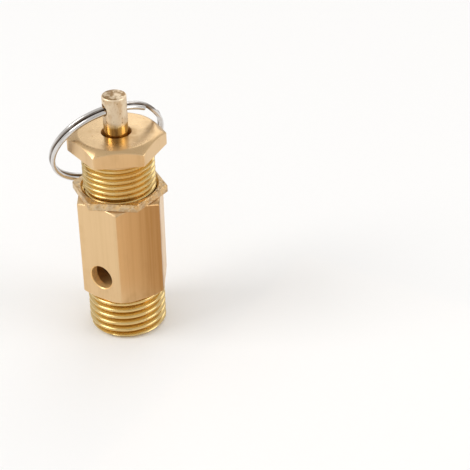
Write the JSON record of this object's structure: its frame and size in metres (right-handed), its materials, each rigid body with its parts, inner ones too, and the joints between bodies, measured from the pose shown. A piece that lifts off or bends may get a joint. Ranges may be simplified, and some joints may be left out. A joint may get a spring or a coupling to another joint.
{
  "type": "pressure relief valve",
  "caption": "Hexagonal brass pressure relief valve with a threaded inlet, side discharge holes, an adjusting bonnet with locknut, and a sprung stem lifted by a pull ring.",
  "frame": {"origin": "centre of the inlet end face, on the valve's axis", "axes": "+Z along the valve's axis from the inlet to the pull ring; -Y out of the front discharge hole; +X to the right"},
  "size_m": [0.0186, 0.0194, 0.0435],
  "materials": {
    "body_brass": "satin drawn hexagon with bright cut threads",
    "nut_brass": "satin, roughly parted faces",
    "bonnet_brass": "turned, satin",
    "stem_brass": "bright drawn rod",
    "holder_brass": "turned",
    "seal_rubber": "smooth moulded rubber",
    "washer_brass": "stamped",
    "spring_steel": "drawn spring wire",
    "ring_nickel": "bright nickel-plated wire"
  },
  "bodies": {
    "valve": {"valve_body": "body_brass", "spring": "spring_steel"},
    "stem": {"stem": "stem_brass", "disc_holder": "holder_brass", "seal_disc": "seal_rubber"},
    "ring": {"split_ring": "ring_nickel"},
    "washer": {"spring_washer": "washer_brass"},
    "bonnet": {"bonnet": "bonnet_brass"},
    "locknut": {"locknut": "nut_brass"}
  },
  "joints": [
    {"name": "stem_lift", "type": "slide", "parent": "valve", "child": "stem", "axis": [0, 0, 1], "range_m": [0, 0.002], "stiffness_N_per_m": 300, "springref_m": -0.002, "deforming": ["spring"]},
    {"name": "ring_swing", "type": "hinge", "parent": "stem", "child": "ring", "pos_m": [0, 0, 0.0412], "axis": [0.515, 0.8572, 0], "range_deg": [0, 304]},
    {"name": "adjust_lift", "type": "slide", "parent": "valve", "child": "washer", "axis": [0, 0, 1], "range_m": [-0.003, 0], "deforming": ["spring"]},
    {"name": "bonnet_turn", "type": "hinge", "parent": "washer", "child": "bonnet", "pos_m": [0, 0, 0.034], "axis": [0, 0, 1], "range_deg": [-1080, 0]},
    {"name": "nut_turn", "type": "hinge", "parent": "valve", "child": "locknut", "pos_m": [0, 0, 0.02655], "axis": [0, 0, 1], "range_deg": [0, 45]}
  ],
  "couplings": [
    {"joint": "adjust_lift", "follows": "bonnet_turn", "m_per_rad": 0.00015915}
  ]
}
